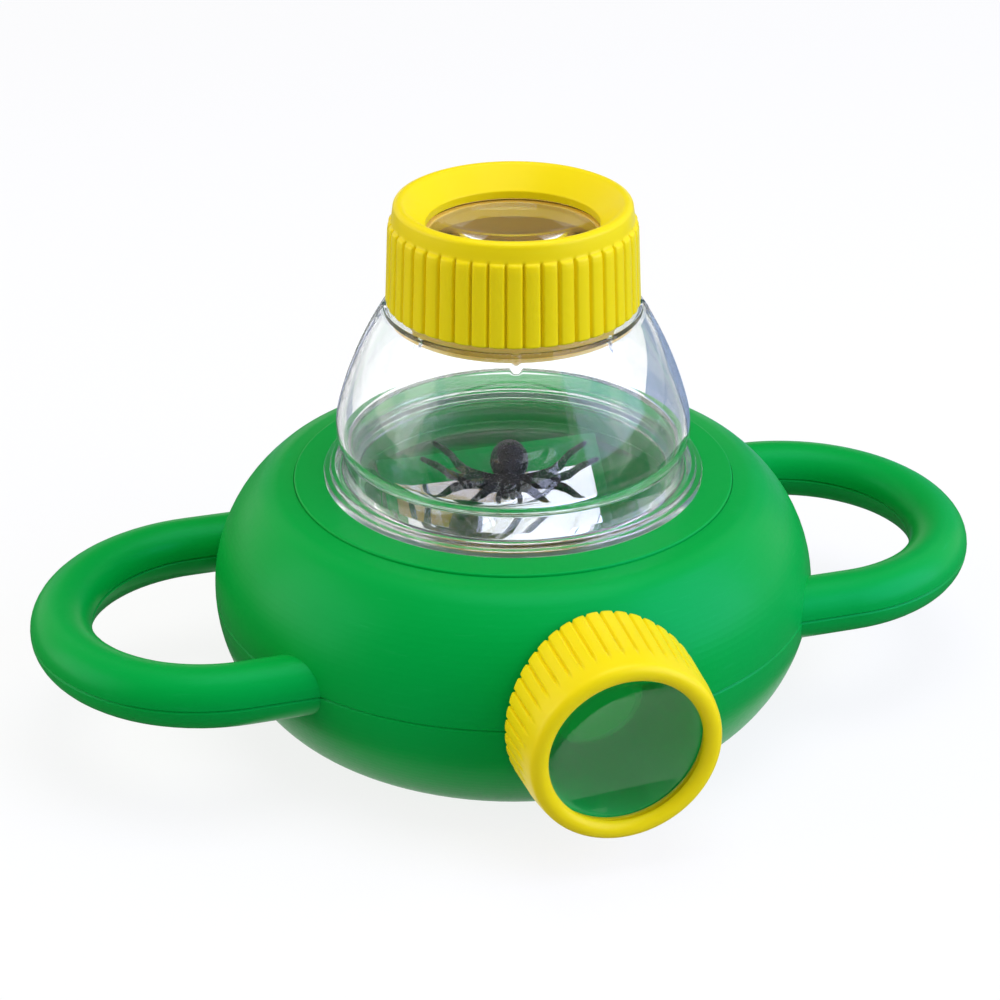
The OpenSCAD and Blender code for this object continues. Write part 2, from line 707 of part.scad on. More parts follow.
// Yellow cap: ribbed skirt, smooth band, rounded crest, dish and viewing hole
module cap_ring() {
    crest_c = [band_r - rib_depth * 2 - crest_round, crest_z - crest_round];
    color(yellow) difference() {
        turned(concat([
            [skirt_in_r, cap_z], [cap_foot_r - rib_depth / 2, cap_z],
            [cap_foot_r, cap_z + rib_depth], [cap_rib_top_r, rib_top_z - rib_depth],
            [cap_rib_top_r - rib_depth, rib_top_z], [band_r, rib_top_z + rib_depth / 2]],
            arc(crest_c, crest_round, 0, crest_deg),
            [[hole_r, hole_z], [hole_r, lens_seat_z], [lens_pocket_r, lens_seat_z],
             [lens_pocket_r, shelf_z], [skirt_in_r, shelf_z]]));
        translate([0, 0, cap_z])
            rib_grooves(cap_ribs, cap_phase, cap_foot_r, cap_rib_top_r, cap_skirt_h - rib_depth);
    }
}

// Points of a lens face: side a = 0 gives its edge and 1 its middle, and b likewise
function face(r, z, rise, a, b) =
    let (big_r = (r * r + rise * rise) / abs(rise) / 2, half = asin(r / big_r))
    [for (i = [0 : arc_steps]) let (t = half * (1 - a - (b - a) * i / arc_steps))
        [big_r * sin(t), z + rise - sign(rise) * big_r * (1 - cos(t))]];

// Lens with a flat rim outside its curved faces
module lens(r, rim, z0, edge, up, down) {
    color(clear) turned(concat([[r, z0], [r, z0 + edge]], face(r - rim, z0 + edge, up, 0, 1),
                               face(r - rim, z0, -down, 1, 0)));
}

module top_lens() {
    lens(top_lens_r, top_lens_r - hole_r + lens_rim_share * top_lens_r,
         top_lens_z, top_lens_edge, top_lens_rise, top_lens_drop);
}

// Tube under the cap: its shelf carries the lens and its skirt goes into the neck
module top_lens_retainer() {
    tube_foot = shelf_z - tube_shelf_t - tube_len;
    color(yellow) turned([
        [tube_in_r, tube_foot], [tube_r - tube_wall / 3, tube_foot], [tube_r, tube_foot + tube_wall / 3],
        [tube_r, shelf_z], [shelf_hole_r, shelf_z],
        [shelf_hole_r, shelf_z - tube_shelf_t], [tube_in_r, shelf_z - tube_shelf_t]]);
}

// Yellow side ring, drawn along the window's axis, with its back edge parallel to the body's skin
module side_ring() {
    bezel_c = [bezel_r - bezel_round, bezel_crest - bezel_round];
    color(yellow) difference() {
        on_port() difference() {
            turned(concat([
                [ring_in_r, ring_back], [ring_back_r, ring_back], [ring_front_r, rib_front - rib_depth],
                [ring_front_r - rib_depth, rib_front], [bezel_r, rib_front + rib_depth]],
                arc(bezel_c, bezel_round, 0, bezel_deg),
                [[window_r, window_out], [window_r, window_seat],
                 [side_lens_r + body_gap, window_seat], [side_lens_r + body_gap, side_stop_out],
                 [ring_in_r, side_stop_out]]));
            translate([0, 0, ring_back])
                rib_grooves(ring_ribs, ring_phase, ring_back_r, ring_front_r, ring_rib_len - rib_depth);
        }
        turned(concat([[0, 0], [base_c[0], -ring_stand]],
                      arc(base_c, base_arc_r + ring_stand, -right_angle, -lower_side_deg),
                      arc(lower_side_c, lower_side_r + ring_stand, -lower_side_deg, 0),
                      arc(upper_side_c, upper_side_r + ring_stand, 0, upper_side_deg),
                      arc(crown_c, crown_r + ring_stand, upper_side_deg, crown_deg), [[0, shell_top]]));
    }
}

module side_lens() {
    on_port() lens(side_lens_r, side_lens_r - window_r + lens_rim_share * side_lens_r,
                   side_lens_in, side_lens_edge, side_lens_rise, side_lens_rise);
}

module side_lens_retainer() {
    color(yellow) on_port() turned([
        [side_stop_in_r, side_stop_out - side_stop_t],
        [ring_in_r - fit_gap / 2, side_stop_out - side_stop_t],
        [ring_in_r - fit_gap / 2, side_stop_out], [side_stop_in_r, side_stop_out]]);
}

// A leg's middle line: a smooth curve through its five named points
function leg_point(p, i, t) =
    let (a = p[max(i - 1, 0)], b = p[i], c = p[i + 1], d = p[min(i + 2, len(p) - 1)])
    ((2 * b) + (c - a) * t + (2 * a - 5 * b + 4 * c - d) * t * t
        + (3 * b - a - 3 * c + d) * t * t * t) / 2;
function leg_line(p) = concat([for (i = [0 : len(p) - 2], k = [0 : leg_steps - 1])
    leg_point(p, i, k / leg_steps)], [p[len(p) - 1]]);

// Round leg that tapers from the body to its tip
module leg(p) {
    line = leg_line(p);
    last = len(line) - 1;
    for (k = [0 : last - 1]) hull() for (i = [k, k + 1])
        translate(line[i]) sphere(leg_r + (leg_tip_r - leg_r) * i / last, $fn = leg_fn);
}

// Egg-shaped abdomen, front body and four pairs of legs
module toy_spider() {
    color(black) translate([0, 0, spider_z]) rotate([0, 0, spider_turn])
        translate([spider_x, spider_y, 0]) {
            translate([0, abdomen_back, abdomen_up]) scale([1, abdomen_len / abdomen_r / 2, 1])
                sphere(abdomen_r, $fn = leg_fn * leg_steps * 2);
            translate([0, -thorax_r / 2, thorax_up]) sphere(thorax_r, $fn = leg_fn * leg_steps * 2);
            hull() {
                translate([0, -thorax_r / 2, thorax_up]) sphere(thorax_r / 2, $fn = leg_fn);
                translate([0, abdomen_back / 2, abdomen_up]) sphere(thorax_r / 2, $fn = leg_fn);
            }
            for (p = leg_shares, sx = [0, 1]) mirror([sx, 0, 0]) leg(leg_reach * p);
        }
}

lower_shell();
upper_shell();
jar_seat();
side_port();
mirror_bracket();
mirror_plate();  // mirror
body_screws();
handle_screws();
bracket_screws();
chamber_floor();
jar_dome();
cap_ring();
top_lens();
top_lens_retainer();
side_ring();
side_lens();
side_lens_retainer();
toy_spider();
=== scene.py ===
import bpy, bmesh, json, math
from mathutils import Matrix, Vector


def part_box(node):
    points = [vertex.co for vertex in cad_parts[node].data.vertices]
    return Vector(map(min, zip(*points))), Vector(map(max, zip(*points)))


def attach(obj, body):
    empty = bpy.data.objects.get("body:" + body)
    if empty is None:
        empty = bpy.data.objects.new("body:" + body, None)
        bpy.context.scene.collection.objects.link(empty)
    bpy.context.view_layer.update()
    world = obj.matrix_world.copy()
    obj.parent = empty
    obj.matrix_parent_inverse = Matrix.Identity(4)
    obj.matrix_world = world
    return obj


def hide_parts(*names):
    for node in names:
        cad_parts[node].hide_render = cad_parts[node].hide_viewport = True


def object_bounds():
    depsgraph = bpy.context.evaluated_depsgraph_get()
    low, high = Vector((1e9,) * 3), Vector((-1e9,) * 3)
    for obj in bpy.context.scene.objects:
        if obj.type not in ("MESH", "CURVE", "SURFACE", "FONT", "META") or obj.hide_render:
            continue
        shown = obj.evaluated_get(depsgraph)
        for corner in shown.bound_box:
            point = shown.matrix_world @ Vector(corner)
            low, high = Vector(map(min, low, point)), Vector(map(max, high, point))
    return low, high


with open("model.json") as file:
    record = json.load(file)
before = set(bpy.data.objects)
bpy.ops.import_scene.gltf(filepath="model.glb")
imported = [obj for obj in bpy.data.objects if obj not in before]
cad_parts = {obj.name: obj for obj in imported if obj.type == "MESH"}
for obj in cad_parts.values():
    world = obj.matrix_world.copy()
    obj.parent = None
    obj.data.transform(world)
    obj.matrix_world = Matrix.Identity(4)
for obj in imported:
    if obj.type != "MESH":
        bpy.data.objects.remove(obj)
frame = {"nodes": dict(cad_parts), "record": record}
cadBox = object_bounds()
nodes = frame["nodes"]
mm = 0.001

camera = {
    "place": (-154.1, -511.9, 325.4),   # millimetres from the middle of the base
    "heading": 16.75,                   # degrees to the right of straight back
    "down": 27.26,                      # degrees below level
    "focal": 89.77,
    "sensor": 36,
    "shiftX": -0.013,
    "near": 0.01,                       # metres
    "far": 50,
}


def makeCamera():
    data = bpy.data.cameras.new("studioCamera")
    data.lens = camera["focal"]
    data.sensor_width = camera["sensor"]
    data.shift_x = camera["shiftX"]
    data.clip_start = camera["near"]
    data.clip_end = camera["far"]
    obj = bpy.data.objects.new("studioCamera", data)
    bpy.context.collection.objects.link(obj)
    obj.location = [v * mm for v in camera["place"]]
    heading, down = math.radians(camera["heading"]), math.radians(camera["down"])
    look = Vector((math.sin(heading) * math.cos(down), math.cos(heading) * math.cos(down), -math.sin(down)))
    obj.rotation_euler = look.to_track_quat("-Z", "Y").to_euler()
    bpy.context.scene.camera = obj
    print("camera placed")


makeCamera()


# nodes that the finishes share
def newMaterial(name):
    mat = bpy.data.materials.new(name)
    mat.use_nodes = True
    tree = mat.node_tree
    return mat, tree, tree.nodes["Principled BSDF"]


def surfaceOutput(tree, shaderOut):
    out = next(n for n in tree.nodes if n.type == "OUTPUT_MATERIAL")
    tree.links.new(shaderOut, out.inputs["Surface"])


def objectPlace(tree):
    return tree.nodes.new("ShaderNodeTexCoord").outputs["Object"]


def noiseOn(tree, scale, detail=2.0, rough=0.5, stretch=None):
    noise = tree.nodes.new("ShaderNodeTexNoise")
    noise.inputs["Scale"].default_value = scale
    noise.inputs["Detail"].default_value = detail
    noise.inputs["Roughness"].default_value = rough
    place = objectPlace(tree)
    if stretch:
        mapping = tree.nodes.new("ShaderNodeMapping")
        mapping.inputs["Scale"].default_value = stretch["scale"]
        mapping.inputs["Rotation"].default_value = stretch["turn"]
        tree.links.new(place, mapping.inputs["Vector"])
        place = mapping.outputs["Vector"]
    tree.links.new(place, noise.inputs["Vector"])
    return noise.outputs["Fac"]


def spread(tree, value, low, high, fromLow=0.3, fromHigh=0.7):
    rng = tree.nodes.new("ShaderNodeMapRange")
    rng.inputs["From Min"].default_value = fromLow
    rng.inputs["From Max"].default_value = fromHigh
    rng.inputs["To Min"].default_value = low
    rng.inputs["To Max"].default_value = high
    tree.links.new(value, rng.inputs["Value"])
    return rng.outputs["Result"]


def maths(tree, how, first, second=0):
    node = tree.nodes.new("ShaderNodeMath")
    node.operation = how
    for socket, value in zip(node.inputs, (first, second)):
        if isinstance(value, (int, float)):
            socket.default_value = value
        else:
            tree.links.new(value, socket)
    return node.outputs[0]


def blendColours(tree, value, first, second):
    mix = tree.nodes.new("ShaderNodeMix")
    mix.data_type = "RGBA"
    for name, colour in (("A", first), ("B", second)):
        socket = next(s for s in mix.inputs if s.name == name and s.type == "RGBA")
        if isinstance(colour, (tuple, list)):
            socket.default_value = (*colour, 1)
        else:
            tree.links.new(colour, socket)
    tree.links.new(value, mix.inputs["Factor"])
    return next(s for s in mix.outputs if s.type == "RGBA")


def bumpFrom(tree, shader, height, strength, distance):
    bump = tree.nodes.new("ShaderNodeBump")
    bump.inputs["Strength"].default_value = strength
    bump.inputs["Distance"].default_value = distance
    tree.links.new(height, bump.inputs["Height"])
    tree.links.new(bump.outputs["Normal"], shader.inputs["Normal"])


def paintedGlowInside(tree, shader, look):   # painted glow: the surface emits its green within a ring of the body's hollow, round the jar's axis
    inside = look["inside"]
    place = tree.nodes.new("ShaderNodeSeparateXYZ")
    tree.links.new(objectPlace(tree), place.inputs[0])
    x, y, z = place.outputs
    squares = [maths(tree, "MULTIPLY", s, s) for s in (x, y)]
    out = maths(tree, "SUBTRACT", maths(tree, "SQRT", maths(tree, "ADD", *squares)), inside["middle"][0])
    up = maths(tree, "SUBTRACT", z, inside["middle"][1])
    squares = [maths(tree, "MULTIPLY", s, s) for s in (out, up)]
    away = maths(tree, "SQRT", maths(tree, "ADD", *squares))
    within = maths(tree, "LESS_THAN", away, inside["radius"])
    shader.inputs["Emission Color"].default_value = (*look["colour"], 1)
    tree.links.new(maths(tree, "MULTIPLY", within, inside["light"]), shader.inputs["Emission Strength"])


def mouldedPlastic(name, look):
    mat, tree, shader = newMaterial(name)
    cloud = noiseOn(tree, look["cloudScale"], detail=3)
    tint = blendColours(tree, spread(tree, cloud, 0, 1), look["colour"], look["colourTwo"])
    scratch = noiseOn(tree, look["scratchScale"], detail=4, rough=0.75, stretch=look["scratchShape"])
    worn = spread(tree, scratch, 0, look["scratchPale"], *look["scratchFrom"])
    tree.links.new(blendColours(tree, worn, tint, look["wornColour"]), shader.inputs["Base Color"])
    fine = noiseOn(tree, look["grainScale"], detail=3, rough=0.6)
    gloss = spread(tree, fine, look["rough"][0], look["rough"][1])
    scuffed = maths(tree, "MULTIPLY", worn, look["scratchRough"])
    tree.links.new(maths(tree, "ADD", gloss, scuffed), shader.inputs["Roughness"])
    shader.inputs["IOR"].default_value = look["ior"]
    shader.inputs["Specular IOR Level"].default_value = look["shine"]
    shader.inputs["Specular Tint"].default_value = (*look["shineTint"], 1)
    shader.inputs["Subsurface Weight"].default_value = look["glow"]
    shader.inputs["Subsurface Radius"].default_value = look["glowRadius"]
    shader.inputs["Subsurface Scale"].default_value = look["glowDepth"]
    peel = noiseOn(tree, look["peelScale"], detail=2, rough=0.4)
    height = maths(tree, "ADD", fine, maths(tree, "MULTIPLY", peel, look["peelShare"]))
    bumpFrom(tree, shader, height, look["bump"], look["bumpDepth"])
    # painted glow inside the body's hollow, where the look asks for it
    if "inside" in look:
        paintedGlowInside(tree, shader, look)
    return mat


mouldedLook = {   # what all the opaque plastics share
    "ior": 1.5,
    "peelShare": 2.0, "bumpDepth": 0.0002,
    "scratchShape": {"scale": (1, 1, 14), "turn": (0.5, 0.9, 0.3)},
    "scratchFrom": (0.6, 0.78), "scratchPale": 0.2, "scratchRough": 0.5,
}
greenLook = dict(
    mouldedLook,
    colour=(0.0, 0.35, 0.039), colourTwo=(0.0, 0.375, 0.047), wornColour=(0.03, 0.47, 0.14),
    cloudScale=14, grainScale=900, peelScale=160, scratchScale=90,
    rough=(0.3, 0.37), bump=0.07, shine=0.15, shineTint=(0.2, 0.9, 1.0),
    glow=0.0, glowRadius=(0.2, 1.0, 0.3), glowDepth=0.001)
yellowLook = dict(
    mouldedLook,
    colour=(0.92, 0.725, 0.002), colourTwo=(0.95, 0.76, 0.003), wornColour=(0.97, 0.86, 0.06),
    cloudScale=20, grainScale=1100, peelScale=190, scratchScale=120,
    rough=(0.3, 0.38), bump=0.05, shine=0.26, shineTint=(1.0, 1.0, 0.55),
    glow=0.12, glowRadius=(1.0, 0.75, 0.1), glowDepth=0.0012)
shellGlowLook = dict(   # painted glow: the lower shell's inside glows green, standing in for light let in through its wall
    greenLook, inside={"middle": (36.5 * mm, 30 * mm), "radius": 35 * mm, "light": 0.3})
paintedLightPortLook = dict(   # painted light: a brighter copy of the green, standing in for the light that reaches the port, which comes through the window alone
    greenLook, colour=(0.0, 0.62, 0.1), colourTwo=(0.01, 0.68, 0.12))
shadedAmberLook = dict(   # the lens tube, seen through clear plastic: a copy of the yellow painted a deeper amber for the shade inside the cap, its colour raised to stand in for light reaching into the tube
    yellowLook, colour=(0.97, 0.6, 0.12), colourTwo=(0.98, 0.64, 0.14),
    wornColour=(0.97, 0.74, 0.26), glow=0.0)
clearLook = {
    "colour": (0.99, 0.992, 0.998), "ior": 1.49, "shineTint": (0.4, 0.4, 0.4),
    "waveScale": 60, "roughest": 0.001, "bump": 0.006, "bumpDepth": 0.0003,
    "shade": (0.97, 0.98, 0.98), "through": 0.1,
}
lensLook = dict(   # the lenses bend all that is seen through them
    clearLook, colour=(0.99, 0.99, 0.985), through=0.0, shineTint=(0.65, 0.65, 0.65))


def clearPlastic(name, look):
    mat, tree, shader = newMaterial(name)
    shader.inputs["Base Color"].default_value = (*look["colour"], 1)
    shader.inputs["Transmission Weight"].default_value = 1
    shader.inputs["IOR"].default_value = look["ior"]
    shader.inputs["Specular Tint"].default_value = (*look["shineTint"], 1)
    fine = noiseOn(tree, look["waveScale"], detail=3)
    tree.links.new(spread(tree, fine, 0.0, look["roughest"]), shader.inputs["Roughness"])
    bumpFrom(tree, shader, fine, look["bump"], look["bumpDepth"])
    ray = tree.nodes.new("ShaderNodeLightPath")   # light goes through to what lies inside
    through = tree.nodes.new("ShaderNodeBsdfTransparent")
    through.inputs["Color"].default_value = (*look["shade"], 1)
    mix = tree.nodes.new("ShaderNodeMixShader")
    passing = maths(tree, "MAXIMUM", ray.outputs["Is Shadow Ray"], ray.outputs["Is Diffuse Ray"])
    passing = maths(tree, "MAXIMUM", passing, look["through"])
    tree.links.new(passing, mix.inputs[0])
    tree.links.new(shader.outputs[0], mix.inputs[1])
    tree.links.new(through.outputs[0], mix.inputs[2])
    surfaceOutput(tree, mix.outputs[0])
    return mat


def metalSheet(name, look):
    mat, tree, shader = newMaterial(name)
    shader.inputs["Metallic"].default_value = 1
    fine = noiseOn(tree, look["scale"], detail=3)
    tint = blendColours(tree, spread(tree, fine, 0, 1), look["colour"], look["colourTwo"])
    tree.links.new(tint, shader.inputs["Base Color"])
    tree.links.new(spread(tree, fine, look["rough"][0], look["rough"][1]), shader.inputs["Roughness"])
    return mat


mirrorLook = {
    "scale": 40, "colour": (0.86, 0.89, 0.88), "colourTwo": (0.9, 0.92, 0.92), "rough": (0.0, 0.02),
}
screwLook = {
    "scale": 700, "colour": (0.5, 0.5, 0.52), "colourTwo": (0.62, 0.62, 0.64), "rough": (0.25, 0.4),
}
spiderLook = {
    # the pale specks are painted glints, highlights on the grainy skin
    "colour": (0.002, 0.002, 0.002), "glintSpeckle": (0.09, 0.09, 0.095), "glintSpeckleFrom": (0.57, 0.7),
    "scale": 1500, "rough": (0.14, 0.34), "shine": 0.3, "bump": 1.0, "bumpDepth": 0.0005,
}


def rubberBlack(name, look):
    mat, tree, shader = newMaterial(name)
    fine = noiseOn(tree, look["scale"], detail=4, rough=0.7)
    # painted glints: pale grey specks in the black base colour stand in for highlights on the grainy skin
    glintSpots = spread(tree, fine, 0, 1, *look["glintSpeckleFrom"])
    tree.links.new(blendColours(tree, glintSpots, look["colour"], look["glintSpeckle"]), shader.inputs["Base Color"])
    tree.links.new(spread(tree, fine, look["rough"][0], look["rough"][1]), shader.inputs["Roughness"])
    shader.inputs["Specular IOR Level"].default_value = look["shine"]
    bumpFrom(tree, shader, fine, look["bump"], look["bumpDepth"])
    return mat


finishes = {   # by material slot, or by node where one has its own
    "green_plastic": mouldedPlastic("greenPlastic", greenLook),
    "yellow_plastic": mouldedPlastic("yellowPlastic", yellowLook),
    "clear_plastic": clearPlastic("clearPlastic", clearLook),
    "lens": clearPlastic("lensPlastic", lensLook),
    "shadedAmber": mouldedPlastic("shadedAmberPlastic", shadedAmberLook),
    "side_port": mouldedPlastic("portPaintedLightPlastic", paintedLightPortLook),
    "lower_shell": mouldedPlastic("shellGlowPlastic", shellGlowLook),
    "mirror_plate": metalSheet("mirrorSilver", mirrorLook),
    "steel": metalSheet("screwSteel", screwLook),
    "black_plastic": rubberBlack("spiderBlack", spiderLook),
}
for part in frame["record"]["subparts"]:
    mesh = nodes[part["node"]].data
    mesh.materials.clear()
    mesh.materials.append(finishes.get(part["node"], finishes[part["material_slot"]]))
print("materials made")


# outlines are lists of (radius, height, rounding, grip) in millimetres
def arcOf(centre, radius, start, end, steps, grip=0.0):
    out = []
    for i in range(steps + 1):
        a = math.radians(start + (end - start) * i / steps)
        out.append((centre[0] + radius * math.cos(a), centre[1] + radius * math.sin(a), 0, grip))
    return out


def softened(corners, closed, steps=4, edge=0.15, longest=1.3, share=0.45):   # share of a side, at most
    rounded = []
    count = len(corners)
    for i, corner in enumerate(corners):
        r, z, rounding, grip = (*corner, 0, 0.0)[:4] if len(corner) < 4 else corner
        here = Vector((r, z))
        if rounding == 0 or (not closed and i in (0, count - 1)):
            rounded.append((here, grip))
            continue
        toBefore = Vector(corners[i - 1][:2]) - here
        toAfter = Vector(corners[(i + 1) % count][:2]) - here
        half = toBefore.angle(toAfter) / 2
        reach = min(rounding / math.tan(half), share * toBefore.length, share * toAfter.length)
        start, end = here + toBefore.normalized() * reach, here + toAfter.normalized() * reach
        for k in range(steps + 1):
            t = k / steps
            rounded.append((start * (1 - t) ** 2 + here * 2 * t * (1 - t) + end * t * t, grip))
    held = []   # short end strips keep long walls evenly shaded
    last = len(rounded) if closed else len(rounded) - 1
    for i in range(last):
        a, gripA = rounded[i]
        b, gripB = rounded[(i + 1) % len(rounded)]
        held.append((a, gripA))
        length = (b - a).length
        if length > longest:
            for t in (edge / length, 1 - edge / length):
                held.append((a.lerp(b, t), gripA + (gripB - gripA) * t))
    if not closed:
        held.append(rounded[-1])
    return held


def turnedMesh(name, outline, columns, closed=True, place=None):
    verts, faces, grips, rings = [], [], [], []
    for point, grip in outline:
        if not closed and abs(point.x) < 1e-6:
            rings.append([len(verts)])
            verts.append((0, 0, point.y * mm))
            grips.append(grip)
            continue
        rings.append(list(range(len(verts), len(verts) + columns)))
        for k in range(columns):
            a = 2 * math.pi * k / columns
            r, z = place(point, a) if place else (point.x, point.y)
            verts.append((r * math.cos(a) * mm, r * math.sin(a) * mm, z * mm))
            grips.append(grip)
    for i in range(len(rings) if closed else len(rings) - 1):
        low, high = rings[i], rings[(i + 1) % len(rings)]
        for k in range(columns):
            n = (k + 1) % columns
            if len(low) == 1:
                faces.append((low[0], high[n], high[k]))
            elif len(high) == 1:
                faces.append((low[k], low[n], high[0]))
            else:
                faces.append((low[k], low[n], high[n], high[k]))
    mesh = bpy.data.meshes.new(name)
    mesh.from_pydata(verts, [], faces)
    mesh.attributes.new("grip", "FLOAT", "POINT").data.foreach_set("value", grips)
    build = bmesh.new()
    build.from_mesh(mesh)
    bmesh.ops.recalc_face_normals(build, faces=build.faces)
    build.to_mesh(mesh)
    build.free()
    mesh.polygons.foreach_set("use_smooth", [True] * len(mesh.polygons))
    mesh.update()
    return mesh


def objectFrom(name, mesh):
    obj = bpy.data.objects.new(name, mesh)
    bpy.context.collection.objects.link(obj)
    return obj


def pieceFrom(name, mesh, finish):
    mesh.name = name
    mesh.materials.clear()
    mesh.materials.append(finishes[finish])
    return objectFrom(name, mesh)


# ribs, stops or grooves round a turned piece, where its grip value is above nought
def makeRibTree():
    tree = bpy.data.node_groups.new("roundRibs", "GeometryNodeTree")
    face = tree.interface
    face.new_socket(name="Geometry", in_out="INPUT", socket_type="NodeSocketGeometry")
    kinds = {"Rib Count": "NodeSocketInt", "Finish": "NodeSocketMaterial"}
    for name in ("Rib Count", "Phase", "Width", "Edge", "Depth", "Belly", "Finish"):
        face.new_socket(name=name, in_out="INPUT", socket_type=kinds.get(name, "NodeSocketFloat"))
    face.new_socket(name="Geometry", in_out="OUTPUT", socket_type="NodeSocketGeometry")
    add, link = tree.nodes.new, tree.links.new
    given, result = add("NodeGroupInput"), add("NodeGroupOutput")

    def calc(how, *values):
        node = add("ShaderNodeMath")
        node.operation = how
        for socket, value in zip(node.inputs, values):
            if isinstance(value, (int, float)):
                socket.default_value = value
            else:
                link(value, socket)
        return node.outputs[0]

    place = add("GeometryNodeInputPosition")
    parts = add("ShaderNodeSeparateXYZ")
    link(place.outputs[0], parts.inputs[0])
    x, y = parts.outputs[0], parts.outputs[1]
    radius = calc("SQRT", calc("ADD", calc("MULTIPLY", x, x), calc("MULTIPLY", y, y)))
    turn = calc("SUBTRACT", calc("ARCTAN2", y, x), given.outputs["Phase"])
    share = calc("DIVIDE", calc("MULTIPLY", turn, given.outputs["Rib Count"]), 2 * math.pi)
    off = calc("ABSOLUTE", calc("WRAP", share, 0.5, -0.5))
    around = calc("MULTIPLY", calc("MULTIPLY", off, radius), 2 * math.pi)
    arc = calc("DIVIDE", around, given.outputs["Rib Count"])
    shape = add("ShaderNodeMapRange")
    shape.interpolation_type = "SMOOTHSTEP"
    half = calc("MULTIPLY", given.outputs["Width"], 0.5)
    link(arc, shape.inputs["Value"])
    link(calc("SUBTRACT", half, given.outputs["Edge"]), shape.inputs["From Min"])
    link(calc("ADD", half, given.outputs["Edge"]), shape.inputs["From Max"])
    shape.inputs["To Min"].default_value = 1
    shape.inputs["To Max"].default_value = 0
    grip = add("GeometryNodeInputNamedAttribute")
    grip.data_type = "FLOAT"
    grip.inputs["Name"].default_value = "grip"
    mask = grip.outputs["Attribute"]
    near = calc("SUBTRACT", 1.0, calc("MULTIPLY", off, 2.0))
    belly = calc("MULTIPLY", calc("MULTIPLY", near, near), given.outputs["Belly"])
    deep = calc("MULTIPLY", shape.outputs["Result"], given.outputs["Depth"])
    move = calc("MULTIPLY", calc("ADD", deep, belly), mask)
    offset = add("ShaderNodeCombineXYZ")
    link(calc("MULTIPLY", calc("DIVIDE", x, radius), move), offset.inputs[0])
    link(calc("MULTIPLY", calc("DIVIDE", y, radius), move), offset.inputs[1])
    shift, real = add("GeometryNodeSetPosition"), add("GeometryNodeRealizeInstances")
    paint = add("GeometryNodeSetMaterial")
    link(given.outputs["Geometry"], shift.inputs["Geometry"])
    link(offset.outputs[0], shift.inputs["Offset"])
    link(shift.outputs[0], real.inputs[0])
    link(real.outputs[0], paint.inputs["Geometry"])
    link(given.outputs["Finish"], paint.inputs["Material"])
    link(paint.outputs[0], result.inputs[0])
    return tree


ribTree = makeRibTree()


def shapedMesh(obj):   # the mesh that the modifiers give; the object itself goes
    result = bpy.data.meshes.new_from_object(obj.evaluated_get(bpy.context.evaluated_depsgraph_get()))
    bpy.data.objects.remove(obj)
    return result


def ribbedMesh(mesh, sizes, finish):
    obj = objectFrom("ribbing", mesh)
    mod = obj.modifiers.new("ribs", "NODES")
    mod.node_group = ribTree
    sockets = {s.name: s.identifier for s in ribTree.interface.items_tree if s.in_out == "INPUT"}
    for name, value in sizes.items():
        mod[sockets[name]] = value
    mod[sockets["Finish"]] = finishes[finish]
    return shapedMesh(obj)


jar = {   # the clear bell; heights above the table and radii in millimetres
    "columns": 720,
    "footZ": 66.66, "footR": 38.6, "wall": 1.5,
    "toeCentre": (37.0, 70.54), "toeRadius": 5, "toeAngle": 51.0, "toeInnerAngle": 6,
    "toeSteps": 14, "toeInnerSteps": 10,
    "bellCentre": (20.0, 70.54), "bellRadius": 22, "bellSteps": 8,
    "flankAngle": 15, "flankRadius": 88.5, "flankSteps": 20, "flankInnerSteps": 22,
    "shoulderR": 29.91, "shoulderZ": 101.64, "underZ": 100.04,
    "neckR": 26.9, "neckInR": 25.7, "neckTop": 115.54,
    "stopsFrom": 4.2,   # below the shoulder
    "stopsFade": ((3.4, 0), (2.6, 0.25), (2.0, 0.7), (1.4, 1)),   # below the shoulder, and grip there
    "stopsAcross": (1.5, 2.2),   # inside the shoulder's edge, where the stops begin to end and end
    "stops": {"Rib Count": 8, "Phase": math.radians(29.5), "Width": 1.6 * mm, "Edge": 0.4 * mm,
              "Depth": 0.6 * mm, "Belly": 0.0},
}


